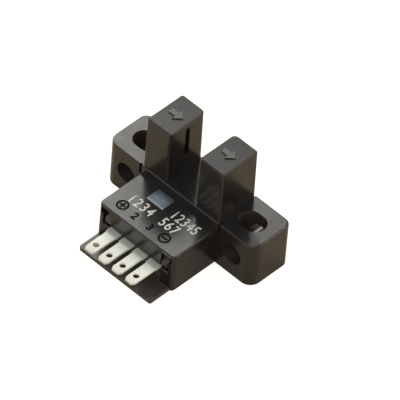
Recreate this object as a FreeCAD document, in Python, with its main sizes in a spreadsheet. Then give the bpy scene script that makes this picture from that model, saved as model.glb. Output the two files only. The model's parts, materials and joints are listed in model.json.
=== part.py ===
import FreeCAD, Part
import math
import os
import re
import Sketcher

# Slotted optical switch: a moulded bar with two posts that face each other across a gap.
# A light source in one post looks through a narrow slit at a receiver in the other.
# The frame: X runs along the bar, +Z is up along the posts, and the terminals point to -Y.
# The origin lies on the bottom face, midway between the two mounting slots.

Vector = FreeCAD.Vector
doc = FreeCAD.newDocument("slotted_optical_switch")
sheet = doc.addObject("Spreadsheet::Sheet", "Sizes")

# Driving sizes in millimetres and degrees
SIZES = {
    # Posts and the gap between them
    "gap_width": 5.0,  # clear gap between the posts, at its floor
    "post_thickness": 4.35,  # one post, across the gap direction, at its foot
    "post_depth": 6.5,  # one post from its front face to its back face
    "post_setback": 0.2,  # front face of a post behind the front of the bar
    "post_height": 15.75,  # top of the posts above the bottom face
    "post_draft": 0.6,  # lean of the posts' faces for the mould, in degrees
    "post_front_round": 0.45,  # upright edge of a post beside the gap, at the front
    "post_back_round": 0.8,  # upright edge of a post beside the gap, at the back
    "post_outer_round": 0.4,  # upright edge of a post away from the gap, at the back
    "post_corner_round": 0.35,  # upright edge of a post away from the gap, at the front
    "post_top_bevel": 0.15,  # bevel around the top of a post

    # Bar with its two wings
    "bar_depth": 7.1,  # wings from front to back
    "bar_height": 7.15,  # top of the wings and floor of the gap, above the bottom face
    "wing_length": 6.25,  # one wing from the post's outer face to its end
    "wing_lap": 0.25,  # how far a wing's thicker back reaches behind the post
    "wing_front_round": 1.6,  # upright corner of a wing at the front
    "wing_back_round": 1.15,  # upright corner of a wing at the back
    "bar_top_round": 0.18,  # edge round the top of the bar and its wings
    "relief_width": 0.45,  # narrow notch between wing and post, across
    "relief_depth": 0.3,  # narrow notch between wing and post, into the bar
    "relief_drop": 0.5,  # lower end of that notch below the top of the terminal end

    # Mounting slots and cross holes
    "mount_offset": 2.65,  # middle of a mounting slot from the post's outer face
    "mount_radius": 1.6,  # end radius of a mounting slot
    "mount_travel": 0.8,  # straight length of a mounting slot
    "cross_radius": 1.55,  # hole through a wing from front to back
    "cross_height": 3.65,  # middle of that hole above the bottom face

    # Terminal end of the housing
    "body_inset": 0.1,  # side of the terminal end inside the post's outer face
    "body_reach": 7.8,  # terminal end in front of the bar
    "body_height": 6.1,  # top of the terminal end above the bottom face
    "body_draft": 0.8,  # lean of its sides and front for the mould, in degrees
    "body_round": 0.6,  # upright front corner of the terminal end
    "body_top_round": 0.15,  # edge round the top of the terminal end

    # Walls of the housing
    "side_wall": 0.65,  # side wall
    "front_wall": 0.8,  # front wall above the terminals
    "top_wall": 0.9,  # roof of the terminal end
    "gap_floor": 0.9,  # floor of the gap
    "post_wall": 0.6,  # wall of a post beside the gap, at its front and at its back
    "post_roof": 0.7,  # roof of a post
    "slit_width": 0.95,  # slit that the light passes through, across
    "slit_height": 4.7,  # slit from its lower to its upper end
    "slit_drop": 0.8,  # upper end of the slit below the top of the post
    "slit_setback": 3.15,  # middle of the slit behind the front face

    # Arrows on the tops of the posts
    "arrow_length": 2.15,  # arrow from tail to tip
    "arrow_head": 1.0,  # arrow head from its base to the tip
    "arrow_head_width": 1.9,  # arrow head across
    "arrow_tail_width": 0.8,  # arrow tail across
    "arrow_rise": 0.15,  # arrow above the post

    # Indicator window in the roof of the terminal end
    "window_width": 2.95,  # window along the bar
    "window_depth": 2.45,  # window away from the bar
    "window_setback": 0.4,  # window in front of the bar
    "window_offset": 1.75,  # middle of the window beside the middle of the gap
    "window_flange": 0.35,  # flange under the roof beyond the window's edge
    "flange_thickness": 0.25,  # thickness of that flange
    "window_sink": 0.03,  # window below the surface around it

    # Terminals
    "terminal_pitch": 2.4,  # from one terminal to the next
    "blade_width": 1.65,  # blade across
    "blade_thickness": 0.3,  # blade from its lower to its upper face
    "blade_reach": 4.8,  # tip of the blade in front of the housing
    "tip_corner": 0.3,  # cut corner of the tip, across
    "tip_taper": 0.5,  # cut corner of the tip, along the blade
    "shoulder_width": 1.9,  # wider root of the blade
    "shoulder_length": 0.7,  # wider root in front of the housing
    "eye_radius": 0.44,  # round eye in the blade
    "eye_setback": 1.45,  # middle of the eye behind the tip
    "blade_bevel": 0.07,  # bevel on the upper edges of the blade
    "tail_width": 0.8,  # tail of the terminal inside the housing
    "leg_inset": 1.7,  # outer face of the upright leg behind the front wall
    "leg_rise": 0.5,  # leg above the circuit board
    "bend_radius": 0.2,  # inner radius of the bend into the leg

    # Base that closes the housing and holds the terminals
    "fit_gap": 0.05,  # clearance between parts that slide together
    "floor_thickness": 0.9,  # floor of the base
    "apron_thickness": 0.6,  # apron under the terminals
    "apron_reach": 3.5,  # apron in front of the housing
    "apron_inset": 0.35,  # side of the apron inside the side of the housing
    "apron_corner": 0.3,  # front corner of the apron
    "jaw_rise": 0.25,  # block around the terminals above the blades
    "jaw_setback": 0.25,  # front of that block behind the front of the housing
    "jaw_depth": 1.1,  # that block from front to back
    "groove_gap": 0.05,  # clearance beside a terminal in its groove
    "keeper_gap": 0.5,  # strip of front wall under a snap window to the lug
    "lug_setback": 0.2,  # face of a snap lug behind the front of the housing
    "lug_drop": 0.75,  # upper end of a snap lug below the roof
    "lug_height": 1.15,  # snap lug from its lower face to its upper end
    "lug_side": 0.55,  # snap lug from the side wall
    "lug_slope": 0.4,  # slope at the upper end of a snap lug
    "lug_window_width": 1.65,  # snap window from the side wall towards the middle
    "lug_window_rise": 0.4,  # upper end of a snap window above the underside of the roof
    "lug_window_side": 0.25,  # lower part of a snap window from the inside of the side wall
    "lug_window_wing": 0.2,  # upper part of a snap window into the side wall
    "lug_window_step": 1.0,  # that upper part from its lower to its upper end
    "keeper_bevel": 0.15,  # bevel on the edge under a snap window
    "tongue_thickness": 0.7,  # springy tongue that carries a snap lug
    "tongue_width": 0.65,  # that tongue, across
    "rail_width": 0.8,  # rail that the circuit board rests on

    # Circuit board and the pieces on it
    "parts_room": 1.0,  # room between the board and the roof
    "board_lift": 0.4,  # lower face of the board above the blades
    "board_thickness": 0.8,  # thickness of the board
    "board_gap": 0.2,  # board from the walls
    "hole_gap": 0.06,  # clearance around a lead in its hole
    "lead_pitch": 1.27,  # from one lead to the next
    "lead_width": 0.45,  # lead across
    "lead_thickness": 0.35,  # lead from face to face
    "lead_tail": 0.5,  # lead below the board
    "stub_width": 0.7,  # stub left by the lead frame, across
    "stub_length": 0.3,  # stub left by the lead frame, along the lead
    "stub_drop": 1.0,  # stub below the package
    "package_thickness": 1.5,  # light source or receiver without its lens
    "package_width": 3.3,  # light source or receiver across
    "package_height": 4.8,  # light source or receiver from bottom to top
    "package_lift": 2.6,  # middle of the lens above the package's lower face
    "package_bevel": 0.3,  # bevel on the package's upper corners
    "lens_radius": 1.0,  # lens at its foot
    "lens_rise": 0.5,  # lens in front of the package
    "filter_thickness": 0.4,  # filter strip behind a slit
    "filter_margin": 0.6,  # filter strip beyond the slit's edge
    "filter_top_gap": 0.1,  # filter strip below the roof of the post
    "filter_rib": 0.2,  # rib of the filter inside the slit
    "lens_gap": 0.1,  # filter strip to the lens
    "chip_length": 2.0,  # chip part along the board
    "chip_width": 1.25,  # chip part across
    "cap_length": 0.4,  # metal end of a chip part
    "cap_lap": 0.04,  # metal end beyond the chip's body
    "resistor_height": 0.5,  # chip resistor above the board
    "capacitor_height": 0.8,  # chip capacitor above the board
    "chip_side": 1.9,  # middle of an outer chip part from the side wall
    "chip_step": 1.75,  # from one row of chip parts to the next
    "lamp_length": 1.6,  # indicator lamp along the board
    "lamp_width": 0.8,  # indicator lamp across
    "lamp_base": 0.25,  # base of the lamp
    "lamp_lens": 0.3,  # clear block on the lamp's base
    "lamp_draft": 8.0,  # lean of the clear block's sides, in degrees
    "diode_radius": 0.7,  # protection diode
    "diode_length": 3.4,  # protection diode from end to end
    "diode_setback": 1.0,  # middle of the diode behind the front wall of the bar
    "transistor_length": 2.9,  # output transistor along the board
    "transistor_width": 1.3,  # output transistor across
    "transistor_height": 0.9,  # body of the output transistor
    "transistor_bevel": 0.12,  # bevel on the transistor's upper edges
    "transistor_lift": 0.1,  # body of the output transistor above the board
    "transistor_setback": 2.15,  # middle of the transistor behind the middle of the diode
    "foot_width": 0.4,  # lead of the transistor, across
    "foot_thickness": 0.12,  # lead of the transistor from face to face
    "foot_reach": 0.55,  # lead of the transistor beyond its body
    "foot_pitch": 0.95,  # outer leads of the transistor from its middle
}
for row, (alias, value) in enumerate(SIZES.items(), start=1):
    sheet.set(f"A{row}", alias)
    sheet.set(f"B{row}", str(value))
    sheet.setAlias(f"B{row}", alias)
sheet.recompute()

# Lengths that follow from the driving sizes
WORKED_OUT = {
    "bar_front": "-bar_depth / 2",
    "bar_back": "bar_depth / 2",
    "gap_side": "gap_width / 2",
    "post_outer": "gap_side + post_thickness",
    "post_middle": "gap_side + post_thickness / 2",
    "post_front": "bar_front + post_setback",
    "post_back": "post_front + post_depth",
    "post_midway": "post_front + post_depth / 2",
    "wing_end": "post_outer + wing_length",
    "wing_step": "post_outer - wing_lap",
    "mount_middle": "post_outer + mount_offset",
    "body_half": "post_outer - body_inset",
    "body_front": "bar_front - body_reach",
    "cavity_half": "body_half - side_wall",
    "cavity_front": "body_front + front_wall",
    "cavity_back": "post_back - post_wall",
    "cavity_top": "body_height - top_wall",
    "board_top": "cavity_top - parts_room",
    "board_height": "board_top - board_thickness",
    "blade_top": "board_height - board_lift",
    "blade_height": "blade_top - blade_thickness",
    "jaw_height": "blade_top + jaw_rise",
    "lug_top": "cavity_top - lug_drop",
    "lug_low": "lug_top - lug_height",
    "keeper_height": "lug_low - keeper_gap",
    "bar_room_front": "post_front + post_wall",
    "bar_room_top": "bar_height - gap_floor",
    "post_room_side": "gap_side + post_wall",
    "post_room_top": "post_height - post_roof",
    "slit_middle": "post_front + slit_setback",
    "slit_top": "post_height - slit_drop",
    "optic_height": "slit_top - slit_height / 2",
    "window_middle": "-window_offset",
    "window_back": "bar_front - window_setback",
    "window_front": "window_back - window_depth",
    "row_end": "1.5 * terminal_pitch",
    "tip": "body_front - blade_reach",
    "shoulder_end": "body_front - shoulder_length",
    "leg_face": "cavity_front + leg_inset",
    "mouth_half": "row_end + shoulder_width / 2 + 2 * fit_gap",
    "jaw_front": "body_front + jaw_setback",
    "jaw_back": "jaw_front + jaw_depth",
    "base_half": "cavity_half - fit_gap",
    "base_front": "cavity_front + fit_gap",
    "base_back": "cavity_back - fit_gap",
    "apron_half": "body_half - apron_inset",
    "apron_front": "body_front - apron_reach",
    "window_inner": "cavity_half - lug_window_width",
    "lug_outer": "cavity_half - lug_side",
    "lug_inner": "window_inner + 2 * fit_gap",
    "tongue_inner": "lug_outer - tongue_width",
    "tongue_back": "base_front + tongue_thickness",
    "board_half": "cavity_half - board_gap",
    "board_front": "tongue_back + board_gap",
    "board_back": "cavity_back - board_gap",
    "filter_face": "post_room_side + filter_thickness",
    "package_face": "filter_face + lens_gap + lens_rise",
    "package_back": "package_face + package_thickness",
    "package_bottom": "optic_height - package_lift",
    "lead_middle": "package_face + package_thickness / 2",
    "chip_row": "(leg_face + bar_front) / 2",
    "lamp_middle": "(window_front + window_back) / 2",
    "diode_middle": "bar_room_front + diode_setback",
    "transistor_middle": "diode_middle + transistor_setback",
}


def in_sheet(formula):
    """The formula with every worked-out length spelled out and every size read from the sheet."""
    def spelled(match):
        word = match.group(0)
        if word in WORKED_OUT:
            return f"({in_sheet(WORKED_OUT[word])})"
        return f"Sizes.{word}"
    return re.sub(r"[a-z_]+(?![a-z_(])", spelled, formula)


def number(formula):
    """The value that a formula has now, in millimetres."""
    return float(sheet.evalExpression(in_sheet(formula)))


def bind(feature, name, formula):
    feature.setExpression(name, in_sheet(formula))


def new_body(label):
    body = doc.addObject("PartDesign::Body", label)
    body.Label = label
    return body


def plane_of(body, role):
    for feature in body.Origin.OriginFeatures:
        if feature.Role == role:
            return feature
    raise RuntimeError(f"{body.Label} has no {role}")


def new_sketch(body, role, name, lift="0"):
    """A sketch on one of the body's own planes, lifted off it along the plane's normal."""
    sketch = body.newObject("Sketcher::SketchObject", name)
    sketch.AttachmentSupport = [(plane_of(body, role), "")]
    sketch.MapMode = "FlatFace"
    bind(sketch, "AttachmentOffset.Base.z", lift)
    return sketch


def hold(sketch, kind, places, formula):
    """Add one dimension to a sketch and bind it to its formula."""
    index = sketch.addConstraint(Sketcher.Constraint(kind, *places, number(formula)))
    bind(sketch, f"Constraints[{index}]", formula)


def hold_point(sketch, curve, point, place):
    hold(sketch, "DistanceX", (-1, 1, curve, point), place[0])
    hold(sketch, "DistanceY", (-1, 1, curve, point), place[1])


def rounding(before, corner, after, radius):
    """Start, middle and end of the arc that rounds a corner between two straight lines."""
    back = (before - corner).normalize()
    ahead = (after - corner).normalize()
    half_angle = back.getAngle(ahead) / 2
    inward = (back + ahead).normalize()
    reach = radius / math.tan(half_angle)
    middle = corner + inward * (radius / math.sin(half_angle) - radius)
    return corner + back * reach, middle, corner + ahead * reach


def arc_ends(sketch, arc, start):
    """Which end of an arc lies at its start in the outline, and which one at its end."""
    gaps = [sketch.getPoint(arc, end).distanceToPoint(start) for end in (1, 2)]
    return (1, 2) if gaps[0] < gaps[1] else (2, 1)


def outline(sketch, corners):
    """A closed outline; a corner is a pair of formulas, and a third formula rounds it."""
    points = [Vector(number(corner[0]), number(corner[1]), 0) for corner in corners]
    count = len(points)
    arcs = {}
    starts = list(points)
    ends = list(points)
    for index, corner in enumerate(corners):
        if len(corner) == 3:
            arc = rounding(points[index - 1], points[index], points[(index + 1) % count], number(corner[2]))
            ends[index], _, starts[index] = arc
            arcs[index] = sketch.addGeometry(Part.Arc(*arc))
    lines = []
    for index in range(count):
        lines.append(sketch.addGeometry(Part.LineSegment(starts[index], ends[(index + 1) % count])))
    for index, corner in enumerate(corners):
        before, after = lines[index - 1], lines[index]
        if index not in arcs:
            sketch.addConstraint(Sketcher.Constraint("Coincident", before, 2, after, 1))
            hold_point(sketch, after, 1, corner)
            continue
        arc = arcs[index]
        first, last = arc_ends(sketch, arc, ends[index])
        sketch.addConstraint(Sketcher.Constraint("Tangent", before, 2, arc, first))
        sketch.addConstraint(Sketcher.Constraint("Tangent", arc, last, after, 1))
        hold(sketch, "Radius", (arc,), corner[2])
        mark = sketch.addGeometry(Part.Point(points[index]), True)
        hold_point(sketch, mark, 1, corner)
        sketch.addConstraint(Sketcher.Constraint("PointOnObject", mark, 1, before))
        sketch.addConstraint(Sketcher.Constraint("PointOnObject", mark, 1, after))


def rectangle(sketch, left, right, low, high, radii=(None, None, None, None)):
    """A rectangle whose corners can be rounded, from the lower left one anticlockwise."""
    corners = (left, low), (right, low), (right, high), (left, high)
    outline(sketch, [
        corner + (radius,) if radius else corner for corner, radius in zip(corners, radii)
    ])


def circle(sketch, middle, radius):
    centre = Vector(number(middle[0]), number(middle[1]), 0)
    index = sketch.addGeometry(Part.Circle(centre, Vector(0, 0, 1), number(radius)))
    hold_point(sketch, index, 3, middle)
    hold(sketch, "Radius", (index,), radius)


def obround(sketch, middle, radius, travel):
    """A slot outline that runs along the sketch's first axis: two half circles, two lines."""
    left = Vector(number(f"{middle[0]} - {travel} / 2"), number(middle[1]), 0)
    right = Vector(number(f"{middle[0]} + {travel} / 2"), number(middle[1]), 0)
    up = Vector(0, number(radius), 0)
    across = Vector(number(radius), 0, 0)
    right_end = sketch.addGeometry(Part.Arc(right - up, right + across, right + up))
    top = sketch.addGeometry(Part.LineSegment(right + up, left + up))
    left_end = sketch.addGeometry(Part.Arc(left + up, left - across, left - up))
    bottom = sketch.addGeometry(Part.LineSegment(left - up, right - up))
    for first, first_end, second, second_end in (
        (right_end, 2, top, 1),
        (top, 2, left_end, 1),
        (left_end, 2, bottom, 1),
        (bottom, 2, right_end, 1),
    ):
        sketch.addConstraint(Sketcher.Constraint("Tangent", first, first_end, second, second_end))
    hold_point(sketch, right_end, 3, (f"{middle[0]} + {travel} / 2", middle[1]))
    hold_point(sketch, left_end, 3, (f"{middle[0]} - {travel} / 2", middle[1]))
    hold(sketch, "Radius", (right_end,), radius)
    sketch.addConstraint(Sketcher.Constraint("Horizontal", top))


def pad(body, name, sketch, length, backward=False, both_ways=False):
    feature = body.newObject("PartDesign::Pad", name)
    feature.Profile = sketch
    bind(feature, "Length", length)
    feature.Reversed = backward
    feature.Midplane = both_ways
    return feature


def pocket(body, name, sketch, depth, backward=False, both_ways=False):
    feature = body.newObject("PartDesign::Pocket", name)
    feature.Profile = sketch
    bind(feature, "Length", depth)
    feature.Reversed = backward
    feature.Midplane = both_ways
    return feature


def edges_where(feature, wanted):
    """Names of the feature's edges whose two ends both satisfy the test."""
    names = []
    for index, edge in enumerate(feature.Shape.Edges, start=1):
        ends = [vertex.Point for vertex in edge.Vertexes]
        if len(ends) == 2 and wanted(*ends):
            names.append(f"Edge{index}")
    if not names:
        raise RuntimeError(f"no edges found on {feature.Name}")
    return names


def near(first, second, reach=0.002):
    return abs(first - second) < reach


def round_edges(body, name, feature, wanted, radius):
    doc.recompute()
    rounding = body.newObject("PartDesign::Fillet", name)
    rounding.Base = (feature, edges_where(feature, wanted))
    bind(rounding, "Radius", radius)
    return rounding


def bevel_edges(body, name, feature, wanted, width):
    doc.recompute()
    bevel = body.newObject("PartDesign::Chamfer", name)
    bevel.Base = (feature, edges_where(feature, wanted))
    bind(bevel, "Size", width)
    return bevel


def at_height(height, across=None, along=None):
    """A test for the edges at one height, and on one line across or along where asked."""
    level = number(height)

    def wanted(start, end):
        for point in (start, end):
            if not near(point.z, level):
                return False
            if across and not near(abs(point.x), number(across)):
                return False
            if along and not near(point.y, number(along)):
                return False
        return True
    return wanted


def case_outside(case):
    """Bar with wings, terminal end and the two leaning posts, with their rounded corners."""
    plan = new_sketch(case, "XY_Plane", "bar_plan")
    outline(plan, [
        ("-wing_end", "bar_front", "wing_front_round"),
        ("wing_end", "bar_front", "wing_front_round"),
        ("wing_end", "bar_back", "wing_back_round"),
        ("wing_step", "bar_back"),
        ("wing_step", "post_back"),
        ("-wing_step", "post_back"),
        ("-wing_step", "bar_back"),
        ("-wing_end", "bar_back", "wing_back_round"),
    ])
    feature = pad(case, "bar", plan, "bar_height")
    front_edge = at_height("bar_height", along="bar_front")
    round_edges(case, "bar_top", feature, front_edge, "bar_top_round")

    plan = new_sketch(case, "XY_Plane", "body_plan")
    rectangle(
        plan, "-body_half", "body_half", "body_front", "bar_room_front",
        ("body_round", "body_round", None, None),
    )
    feature = pad(case, "terminal_end", plan, "body_height")
    bind(feature, "TaperAngle", "-body_draft")

    plan = new_sketch(case, "XY_Plane", "post_plan", "bar_height")
    rectangle(
        plan, "gap_side", "post_outer", "post_front", "post_back",
        ("post_front_round", "post_corner_round", "post_outer_round", "post_back_round"),
    )
    rectangle(
        plan, "-post_outer", "-gap_side", "post_front", "post_back",
        ("post_corner_round", "post_front_round", "post_back_round", "post_outer_round"),
    )
    feature = pad(case, "posts", plan, "post_height - bar_height")
    bind(feature, "TaperAngle", "-post_draft")
    feature = bevel_edges(case, "post_tops", feature, at_height("post_height"), "post_top_bevel")

    plan = new_sketch(case, "XY_Plane", "relief_plan", "body_height - relief_drop")
    for left, right in (
        ("-post_outer - relief_width", "-post_outer"),
        ("post_outer", "post_outer + relief_width"),
    ):
        rectangle(plan, left, right, "bar_front - relief_depth", "bar_front + relief_depth")
    feature = pocket(case, "reliefs", plan, "post_height", backward=True)

    front_edge = at_height("body_height", along="body_front + body_height * tan(body_draft)")
    round_edges(case, "body_top", feature, front_edge, "body_top_round")


def case_inside(case):
    """Hollow of the housing, open at the bottom, with a room inside each post."""
    plan = new_sketch(case, "XY_Plane", "room_plan")
    rectangle(plan, "-cavity_half", "cavity_half", "cavity_front", "cavity_back")
    pocket(case, "room", plan, "cavity_top", backward=True)

    plan = new_sketch(case, "XY_Plane", "bar_room_plan")
    rectangle(plan, "-cavity_half", "cavity_half", "bar_room_front", "cavity_back")
    pocket(case, "bar_room", plan, "bar_room_top", backward=True)

    plan = new_sketch(case, "XY_Plane", "post_room_plan")
    rectangle(plan, "post_room_side", "cavity_half", "bar_room_front", "cavity_back")
    rectangle(plan, "-cavity_half", "-post_room_side", "bar_room_front", "cavity_back")
    pocket(case, "post_rooms", plan, "post_room_top", backward=True)


def case_openings(case):
    """Mounting slots, cross holes, light slits, indicator window, terminal mouth, snap windows."""
    plan = new_sketch(case, "XY_Plane", "mount_plan")
    obround(plan, ("mount_middle", "0"), "mount_radius", "mount_travel")
    obround(plan, ("-mount_middle", "0"), "mount_radius", "mount_travel")
    pocket(case, "mount_slots", plan, "bar_height", backward=True)

    face = new_sketch(case, "XZ_Plane", "cross_face")
    circle(face, ("mount_middle", "cross_height"), "cross_radius")
    circle(face, ("-mount_middle", "cross_height"), "cross_radius")
    pocket(case, "cross_holes", face, "bar_depth", both_ways=True)

    face = new_sketch(case, "YZ_Plane", "slit_face")
    rectangle(
        face, "slit_middle - slit_width / 2", "slit_middle + slit_width / 2",
        "slit_top - slit_height", "slit_top",
    )
    pocket(case, "slits", face, "2 * post_room_side + post_wall / 2", both_ways=True)

    plan = new_sketch(case, "XY_Plane", "window_plan")
    rectangle(
        plan, "window_middle - window_width / 2", "window_middle + window_width / 2",
        "window_front", "window_back",
    )
    pocket(case, "window_opening", plan, "body_height", backward=True)

    face = new_sketch(case, "XZ_Plane", "mouth_face", "front_wall / 2 - cavity_front")
    rectangle(face, "-mouth_half", "mouth_half", "0", "jaw_height + fit_gap")
    pocket(case, "terminal_mouth", face, "2 * front_wall", both_ways=True)

    face = new_sketch(case, "XZ_Plane", "snap_face", "front_wall / 2 - cavity_front")
    snap_top = "cavity_top + lug_window_rise"
    half_outline = [
        ("window_inner", "keeper_height"),
        ("cavity_half - lug_window_side", "keeper_height"),
        ("cavity_half - lug_window_side", f"{snap_top} - lug_window_step"),
        ("cavity_half + lug_window_wing", f"{snap_top} - lug_window_step"),
        ("cavity_half + lug_window_wing", snap_top),
        ("window_inner", snap_top),
    ]
    outline(face, half_outline)
    outline(face, [(f"-({across})", height) for across, height in reversed(half_outline)])
    feature = pocket(case, "snap_windows", face, "2 * front_wall", both_ways=True)
    front_edge = at_height("keeper_height", along="body_front + keeper_height * tan(body_draft)")
    bevel_edges(case, "keeper_edges", feature, front_edge, "keeper_bevel")


def case_arrows(case):
    """A flat raised arrow on each post, both pointing the same way along the bar."""
    plan = new_sketch(case, "XY_Plane", "arrow_plan", "post_height")
    for middle in ("-post_middle", "post_middle"):
        tail = f"{middle} - arrow_length / 2"
        tip = f"{middle} + arrow_length / 2"
        neck = f"{tip} - arrow_head"
        outline(plan, [
            (tail, "post_midway - arrow_tail_width / 2"),
            (neck, "post_midway - arrow_tail_width / 2"),
            (neck, "post_midway - arrow_head_width / 2"),
            (tip, "post_midway"),
            (neck, "post_midway + arrow_head_width / 2"),
            (neck, "post_midway + arrow_tail_width / 2"),
            (tail, "post_midway + arrow_tail_width / 2"),
        ])
    pad(case, "arrows", plan, "arrow_rise")


def make_case():
    case = new_body("case")
    case_outside(case)
    case_inside(case)
    case_openings(case)
    case_arrows(case)
    return case


def make_base():
    """Base that closes the housing: floor, apron, block around the terminals, snap lugs, rails."""
    base = new_body("terminal_base")
    jaw_half = "mouth_half - fit_gap"

    plan = new_sketch(base, "XY_Plane", "floor_plan")
    rectangle(plan, "-base_half", "base_half", "base_front", "base_back")
    pad(base, "floor", plan, "floor_thickness")

    plan = new_sketch(base, "XY_Plane", "apron_plan")
    outline(plan, [
        ("-apron_half", "apron_front", "apron_corner"),
        ("apron_half", "apron_front", "apron_corner"),
        ("apron_half", "body_front - fit_gap"),
        (jaw_half, "body_front - fit_gap"),
        (jaw_half, "jaw_back"),
        (f"-({jaw_half})", "jaw_back"),
        (f"-({jaw_half})", "body_front - fit_gap"),
        ("-apron_half", "body_front - fit_gap"),
    ])
    pad(base, "apron", plan, "apron_thickness")

    plan = new_sketch(base, "XY_Plane", "jaw_plan")
    rectangle(plan, f"-({jaw_half})", jaw_half, "jaw_front", "jaw_back")
    pad(base, "jaw", plan, "jaw_height")

    plan = new_sketch(base, "XY_Plane", "tongue_plan")
    rectangle(plan, "tongue_inner", "lug_outer", "base_front", "tongue_back")
    rectangle(plan, "-lug_outer", "-tongue_inner", "base_front", "tongue_back")
    pad(base, "tongues", plan, "lug_top")

    plan = new_sketch(base, "XY_Plane", "rail_plan")
    rectangle(plan, "base_half - rail_width", "base_half", "board_front", "base_back")
    rectangle(plan, "-base_half", "rail_width - base_half", "board_front", "base_back")
    pad(base, "rails", plan, "board_height")

    for side, inner_face in (("left", "-lug_outer"), ("right", "lug_inner")):
        face = new_sketch(base, "YZ_Plane", f"{side}_lug_side", inner_face)
        outline(face, [
            ("body_front + lug_setback", "lug_low"),
            ("tongue_back", "lug_low"),
            ("tongue_back", "lug_top"),
            ("base_front", "lug_top"),
            ("body_front + lug_setback", "lug_top - lug_slope"),
        ])
        pad(base, f"{side}_lug", face, "lug_outer - lug_inner")

    plan = new_sketch(base, "XY_Plane", "groove_plan", "blade_height")
    for place in terminal_places():
        rectangle(
            plan, f"{place} - blade_width / 2 - groove_gap", f"{place} + blade_width / 2 + groove_gap",
            "jaw_front - fit_gap", "jaw_back + fit_gap",
        )
    pocket(base, "grooves", plan, "jaw_height", backward=True)


def terminal_places():
    """The middles of the four terminals along the bar, from left to right."""
    return [f"{step} * terminal_pitch" for step in ("-1.5", "-0.5", "0.5", "1.5")]


def make_terminal(label, place):
    """Stamped terminal: blade with an eye, wider root, tail bent up through the circuit board."""
    terminal = new_body(label)
    half_outline = [
        ("blade_width / 2 - tip_corner", "tip"),
        ("blade_width / 2", "tip + tip_taper"),
        ("blade_width / 2", "shoulder_end"),
        ("shoulder_width / 2", "shoulder_end"),
        ("shoulder_width / 2", "jaw_front"),
        ("blade_width / 2", "jaw_front"),
        ("blade_width / 2", "jaw_back"),
        ("tail_width / 2", "jaw_back"),
        ("tail_width / 2", "leg_face - blade_thickness - bend_radius"),
    ]
    plan = new_sketch(terminal, "XY_Plane", "blade_plan", "blade_height")
    right = [(f"{place} + {half}", along) for half, along in half_outline]
    left = [(f"{place} - ({half})", along) for half, along in reversed(half_outline)]
    outline(plan, right + left)
    blade = pad(terminal, "blade", plan, "blade_thickness")

    face = new_sketch(terminal, "YZ_Plane", "leg_side", place)
    outline(face, [
        ("leg_face - blade_thickness - 2 * bend_radius", "blade_height"),
        ("leg_face", "blade_height", "bend_radius + blade_thickness"),
        ("leg_face", "board_top + leg_rise"),
        ("leg_face - blade_thickness", "board_top + leg_rise"),
        ("leg_face - blade_thickness", "blade_top", "bend_radius"),
        ("leg_face - blade_thickness - 2 * bend_radius", "blade_top"),
    ])
    leg = pad(terminal, "leg", face, "tail_width", both_ways=True)

    at_top = at_height("blade_top")
    root = number("shoulder_end")
    bevel_edges(
        terminal, "blade_edges", leg,
        lambda start, end: at_top(start, end) and min(start.y, end.y) < root - 0.01, "blade_bevel",
    )

    plan = new_sketch(terminal, "XY_Plane", "eye_plan", "blade_height")
    circle(plan, (place, "tip + eye_setback"), "eye_radius")
    pocket(terminal, "eye", plan, "blade_thickness", backward=True)


def make_window():
    """Clear window that drops into the roof from below and rests on its flange."""
    window = new_body("indicator_window")
    plan = new_sketch(window, "XY_Plane", "flange_plan", "cavity_top - flange_thickness")
    rectangle(
        plan, "window_middle - window_width / 2 - window_flange",
        "window_middle + window_width / 2 + window_flange",
        "window_front - window_flange", "window_back + window_flange",
    )
    pad(window, "flange", plan, "flange_thickness")
    plan = new_sketch(window, "XY_Plane", "stem_plan", "cavity_top - flange_thickness")
    rectangle(
        plan, "window_middle - window_width / 2 + fit_gap", "window_middle + window_width / 2 - fit_gap",
        "window_front + fit_gap", "window_back - fit_gap",
    )
    pad(window, "stem", plan, "top_wall + flange_thickness - window_sink")


def make_filter(label, side):
    """Dark strip behind a slit, with a rib that fills the slit from inside the post."""
    strip = new_body(label)
    towards_end = side == "-"
    face = new_sketch(strip, "YZ_Plane", "strip_face", f"{side}post_room_side")
    rectangle(
        face, "slit_middle - slit_width / 2 - filter_margin", "slit_middle + slit_width / 2 + filter_margin",
        "slit_top - slit_height - filter_margin", "post_room_top - filter_top_gap",
    )
    pad(strip, "strip", face, "filter_thickness", backward=towards_end)
    face = new_sketch(strip, "YZ_Plane", "rib_face", f"{side}post_room_side")
    rectangle(
        face, "slit_middle - slit_width / 2 + fit_gap", "slit_middle + slit_width / 2 - fit_gap",
        "slit_top - slit_height + fit_gap", "slit_top - fit_gap",
    )
    pad(strip, "rib", face, "filter_rib", backward=not towards_end)


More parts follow.
